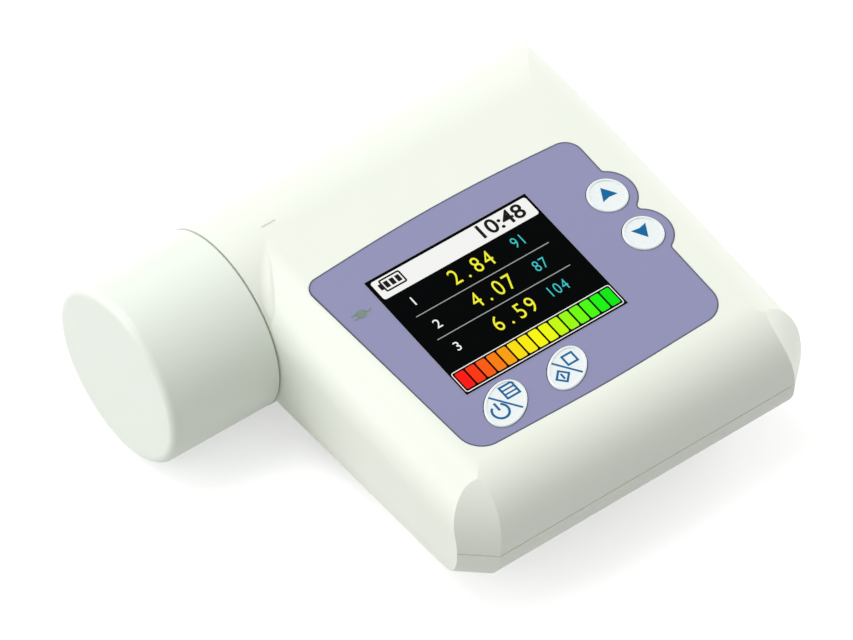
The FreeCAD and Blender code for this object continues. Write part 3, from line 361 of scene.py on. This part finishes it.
# Display picture: generic figures and bars

# Gauge colours from low to high, as a colour display gives them
GAUGE = ("#FF1200", "#FF3600", "#FF5C00", "#FF8000", "#FFA200", "#FFE200", "#FFF000", "#FFFA00", "#F0FF00",
         "#C8FF00", "#9CFF00", "#70FF00", "#48FF00", "#14F800", "#00EC00")


def display_picture():
    """Status bar, three rows of figures with rules between them, and a bar gauge."""
    bar = rounded_box(WINDOW_LEFT + 0.8, WINDOW_RIGHT - 0.5, 45.95, 50.2, 0.5)
    on_panel("display_status_bar", [plate(bar)], WHITE_GLOW)
    on_panel("display_clock", [digits("10:48", 1.0, 46.9, 3.0, 1.08, 0.016)], BLACK_SEGMENT, lift=INK)
    cell = [stroke(rounded_box(-19.4, -15.3, 47.2, 49.7, 0.2, 3), 0.32, True),
            plate(box_outline(-20.1, -19.55, 47.8, 49.1))]
    for i in range(3):
        cell.append(plate(box_outline(-19.0 + 1.2 * i, -18.15 + 1.2 * i, 47.75, 49.15)))
    on_panel("display_battery_sign", cell, BLACK_SEGMENT, lift=INK)
    rows = ((41.6, "2.84", 42.1, "91"), (35.6, "4.07", 36.0, "87"), (29.6, "6.59", 30.3, "104"))
    yellow, cyan, white = [], [], []
    for i, (base, value, small_base, share) in enumerate(rows):
        yellow.append(in_cells(value, -9.4, base, 3.25, 2.35, 0.82, -0.004))
        cyan.append(in_cells(share, 3.9 if len(share) < 3 else 2.4, small_base, 2.3, 1.5, 0.8, -0.008))
        white.append(digits(str(i + 1), -17.2, small_base, 1.9, 1.0))
    on_panel("display_values", yellow, YELLOW_GLOW)
    on_panel("display_shares", cyan, CYAN_GLOW)
    on_panel("display_row_numbers", white, WHITE_GLOW)
    rules = [stroke([(-18.7, v), (9.5, v)], 0.16) for v in (40.05, 34.15)]
    on_panel("display_rules", rules, GREY_GLOW)
    gauge = rounded_box(-21.25, 12.15, 22.6, 27.1, 0.4, 4)
    on_panel("display_gauge_frame", [stroke(gauge, 0.16, True)], WHITE_GLOW)
    for i, colour in enumerate(GAUGE):
        start = -20.85 + 2.2 * i
        name = "display_bar_%02d" % (i + 1)
        on_panel(name, [plate(rounded_box(start, start + 1.82, 23.05, 26.7, 0.28, 4))], glowing(name, colour))


display_picture()


# Prints on the keys and the film

def key_prints():
    """Arrow, power, list, start and stop signs in blue on the key caps."""
    def sign(name, parts, key):
        on_panel(name, parts, KEY_INK, key, KEY_FACE)

    sign("sign_up", [plate([(22.5, 41.6), (24.05, 41.95), (25.7, 41.75), (23.95, 44.35)])], "key_up")
    sign("sign_down", [plate([(22.45, 33.9), (24.15, 31.25), (25.6, 34.0), (24.1, 33.65)])], "key_down")
    power = [stroke(arc((-19.1, 16.2), 1.5, 125, 415), 0.42), stroke([(-19.1, 16.4), (-19.1, 18.1)], 0.42),
             stroke([(-19.3, 19.8), (-15.4, 14.55)], 0.36)]
    page = [stroke(box_outline(-16.5, -13.95, 17.6, 20.1), 0.38, True)]
    page += [stroke([(-16.4, v), (-14.0, v)], 0.3) for v in (18.43, 19.27)]
    sign("sign_power_and_list", power + page, "key_menu")
    diamond = [(-6.1, 14.75), (-4.8, 16.05), (-6.1, 17.35), (-7.4, 16.05)]
    start = [stroke(diamond, 0.38, True), stroke([(-6.1, 15.45), (-6.1, 16.65)], 0.38),
             stroke([(-6.3, 19.6), (-2.5, 14.5)], 0.36),
             stroke(box_outline(-3.85, -1.85, 17.4, 19.35), 0.38, True)]
    sign("sign_start_and_stop", start, "key_start")


def charge_sign():
    """A plug and its lead beside the charge lamp, as a simple pictogram."""
    plug = [plate(rounded_box(-26.75, -25.1, 45.0, 46.6, 0.35, 4)),
            stroke([(-27.75, 45.35), (-26.6, 45.35)], 0.34), stroke([(-27.75, 46.2), (-26.6, 46.2)], 0.34),
            stroke(arc((-24.5, 46.35), 0.7, 200, 330, 10), 0.34)]
    on_panel("sign_charge", plug, GREEN_INK)


def film_lines():
    """A grey line of painted shade all round the film's edge, and a pale line of painted highlight round the
    window.
    """
    loops = film_outlines()
    round_film, round_window = loops[0], loops[1]
    on_panel("painted_shade_film_edge_line", [stroke(round_film, 0.22, True)], FILM_EDGE_SHADE)
    on_panel("painted_highlight_window_line", [stroke(round_window, 0.14, True)], WINDOW_BEVEL_HIGHLIGHT)


def alignment_mark():
    """Short grey dash on top of the barrel that shows where the cartridge seats."""
    left, right, width = -28.7, -25.8, 0.3
    top = BARREL_Z + BARREL_R
    points, faces = stroke([(left, BARREL_Y), (right, BARREL_Y)], width)
    points = points + np.array([0.0, 0.0, top])
    new_piece("alignment_dash", points * MM, faces, GREY_INK, "housing")


def shoulder_blend():
    """Soft hollow in which the barrel runs out of the housing's left shoulder.

    Over the panel's left edge the shoulder lies a = r (1 - cos t) deep at u = start - r sin t, and the
    barrel b = R (1 - cos s) deep at v = crest - R sin s. The skin lies min(a, b) deep, less
    max(k - |a - b|, 0)^2 / 4k, with k = m (1.8 - 1.3 m / r) and m = min(a, b), and its rim is tucked
    just under both.
    """
    start, shoulder_r = -28.3, 8.5
    widest, narrowing = 1.8, 1.3
    tuck, rim_tuck = 0.03, 0.05
    crest = (BARREL_Y - BARREL_R * math.sin(SLOPE) - FRONT_Y) / math.cos(SLOPE)
    shoulder_turns, barrel_turns = np.linspace(0.03, TAU / 4, 72), np.linspace(0.02, 1.35, 110)
    t, s = np.meshgrid(shoulder_turns, barrel_turns, indexing="ij")
    shoulder, barrel = shoulder_r * (1 - np.cos(t)), BARREL_R * (1 - np.cos(s))
    least = np.minimum(shoulder, barrel)
    width = least * (widest - narrowing * least / shoulder_r)
    fill = np.maximum(width - np.abs(shoulder - barrel), 0.0) ** 2 / (4 * width)
    depth = least - np.where(fill > 0, fill, -tuck)
    depth[-1] = least[-1] + rim_tuck
    points = np.stack([start - shoulder_r * np.sin(t), crest - BARREL_R * np.sin(s), -depth], axis=-1)
    rows, columns = t.shape
    number = np.arange(rows * columns).reshape(rows, columns)
    quads = np.stack([number[:-1, :-1], number[1:, :-1], number[1:, 1:], number[:-1, 1:]], axis=-1)
    lifted = (fill[:-1, :-1] > 0) | (fill[1:, :-1] > 0) | (fill[1:, 1:] > 0) | (fill[:-1, 1:] > 0)
    quads = quads[lifted]
    used, quads = np.unique(quads, return_inverse=True)
    skin = new_piece("shoulder_blend", panel_to_frame(points.reshape(-1, 3)[used]),
                     quads.reshape(-1, 4).tolist(), SHELL_ABS, "housing")
    skin.data.shade_smooth()


key_prints()
charge_sign()
film_lines()
alignment_mark()
shoulder_blend()


# Camera, fitted to the photograph: the view's axes in the frame, the fit's origin, and how far the
# camera is moved along each axis from there, in mm
VIEW_RIGHT = Vector((0.79640, -0.60476, 0.0))
VIEW_BACK = Vector((-0.40424, -0.53234, 0.74382))
VIEW_UP = VIEW_BACK.cross(VIEW_RIGHT)
VIEW_CENTRE = Vector((0.0, 168.463, 16.5))
MOVE_RIGHT, MOVE_UP, MOVE_BACK = 90.923, -100.581, 1253.079
SENSOR_WIDTH = 36.0
FOCAL_PIXELS = 6802.725
PICTURE_PIXELS = 853

camera_data = bpy.data.cameras.new("photo_camera")
camera_data.sensor_fit = "HORIZONTAL"
camera_data.sensor_width = SENSOR_WIDTH
camera_data.lens = SENSOR_WIDTH * FOCAL_PIXELS / PICTURE_PIXELS
camera_data.clip_end = 20.0
camera = bpy.data.objects.new("photo_camera", camera_data)
bpy.context.scene.collection.objects.link(camera)
seat = (MOVE_RIGHT * VIEW_RIGHT + MOVE_UP * VIEW_UP + MOVE_BACK * VIEW_BACK + VIEW_CENTRE) * MM
turn = Matrix((VIEW_RIGHT, VIEW_UP, VIEW_BACK)).transposed().to_4x4()
camera.matrix_world = Matrix.Translation(seat) @ turn
bpy.context.scene.camera = camera


# Floor, light and world

def looked_at(tree):
    """1 where the camera or a mirror or clear surface looks, and 0 for the light that falls on the object."""
    path = add(tree, "ShaderNodeLightPath")
    seen = add(tree, "ShaderNodeMath", {0: path.outputs["Is Camera Ray"], 1: path.outputs["Is Glossy Ray"]},
               operation="MAXIMUM")
    return add(tree, "ShaderNodeMath", {0: seen.outputs[0], 1: path.outputs["Is Transmission Ray"]},
               operation="MAXIMUM")


def pale_floor():
    """A wide plain sheet; where the camera or a reflection looks at it, it is lifted to white."""
    white_lift, reach = 0.5, 3.0
    material = bpy.data.materials.new("pale_studio_floor")
    material.use_nodes = True
    tree = material.node_tree
    surface = tree.nodes["Principled BSDF"]
    surface.inputs["Roughness"].default_value = 0.9
    surface.inputs["Specular IOR Level"].default_value = 0.1
    seen = looked_at(tree)
    lift = add(tree, "ShaderNodeMath", {0: seen.outputs[0], 1: white_lift}, operation="MULTIPLY")
    tone = add(tree, "ShaderNodeMix", {0: seen.outputs[0], 6: linear("#B8B8B8"), 7: linear("#F6F6F6")},
               data_type="RGBA")
    surface.inputs["Emission Color"].default_value = (1.0, 1.0, 1.0, 1.0)
    tree.links.new(tone.outputs[2], surface.inputs["Base Color"])
    tree.links.new(lift.outputs[0], surface.inputs["Emission Strength"])
    mesh = bpy.data.meshes.new("floor")
    mesh.from_pydata([(-reach, -reach, 0), (reach, -reach, 0), (reach, reach, 0), (-reach, reach, 0)],
                     [], [(0, 1, 2, 3)])
    mesh.materials.append(material)
    floor = bpy.data.objects.new("floor", mesh)
    bpy.context.scene.collection.objects.link(floor)


def soft_light(name, place, size, watts):
    """A square soft box that faces the object."""
    data = bpy.data.lights.new(name, "AREA")
    data.shape = "SQUARE"
    data.size = size
    data.energy = watts
    light = bpy.data.objects.new(name, data)
    light.location = place
    light.rotation_euler = (-Vector(place)).to_track_quat("-Z", "Y").to_euler()
    bpy.context.scene.collection.objects.link(light)


def pale_world(light, background=1.0):
    """Even light from all round, behind which the camera and reflections see plain white."""
    world = bpy.data.worlds.new("studio")
    world.use_nodes = True
    tree = world.node_tree
    seen = looked_at(tree)
    strength = add(tree, "ShaderNodeMapRange", {"Value": seen.outputs[0], "To Min": light, "To Max": background})
    surround = tree.nodes["Background"]
    surround.inputs["Color"].default_value = (1.0, 1.0, 1.0, 1.0)
    tree.links.new(strength.outputs["Result"], surround.inputs["Strength"])
    bpy.context.scene.world = world


pale_floor()
soft_light("top_box", (-0.3, 0.5, 1.3), 0.9, 8.2)
soft_light("left_box", (-1.15, 0.68, 0.5), 0.9, 7.1)
soft_light("right_box", (1.3, 0.05, 0.42), 0.9, 6.4)
pale_world(0.44)
bpy.context.scene.view_settings.view_transform = "Standard"
